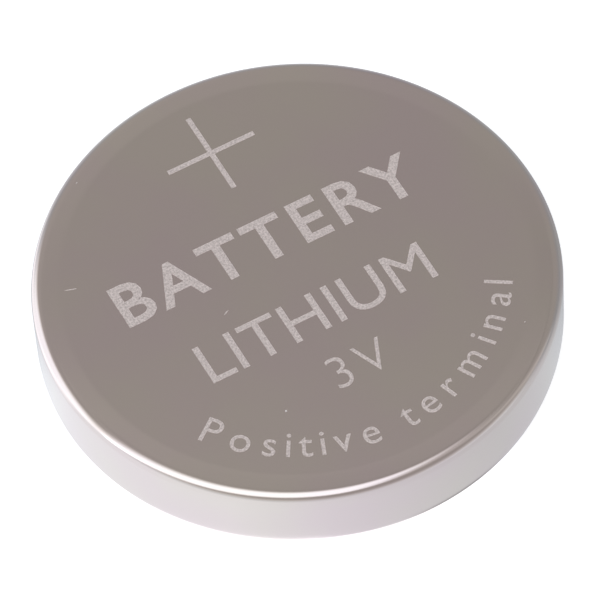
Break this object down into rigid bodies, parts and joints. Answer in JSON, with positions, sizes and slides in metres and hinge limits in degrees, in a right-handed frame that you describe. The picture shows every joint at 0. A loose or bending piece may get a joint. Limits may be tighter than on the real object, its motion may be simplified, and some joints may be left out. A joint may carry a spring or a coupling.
{
  "type": "lithium coin cell",
  "caption": "Round lithium coin cell: a steel can rolled over a gasket and a raised negative cap, with an etched plus on its flat positive face.",
  "frame": {"origin": "centre of the negative cap's outer face, where the cell stands", "axes": "+Z through the cell to the positive face, +Y from the centre towards the plus sign on that face, +X along its reading direction"},
  "size_m": [0.0244, 0.0244, 0.005],
  "materials": {
    "can_steel": "satin nickel-plated steel",
    "cap_steel": "matte nickel-plated steel",
    "gasket_plastic": "moulded polypropylene",
    "lithium": "soft rolled metal",
    "separator_fleece": "nonwoven polypropylene",
    "cathode_mass": "pressed manganese dioxide powder",
    "ring_steel": "bright stainless steel"
  },
  "bodies": {
    "root": {"positive_can": "can_steel", "sealing_gasket": "gasket_plastic", "negative_cap": "cap_steel", "lithium_anode": "lithium", "separator": "separator_fleece", "cathode_pellet": "cathode_mass", "cathode_ring": "ring_steel"}
  },
  "joints": []
}
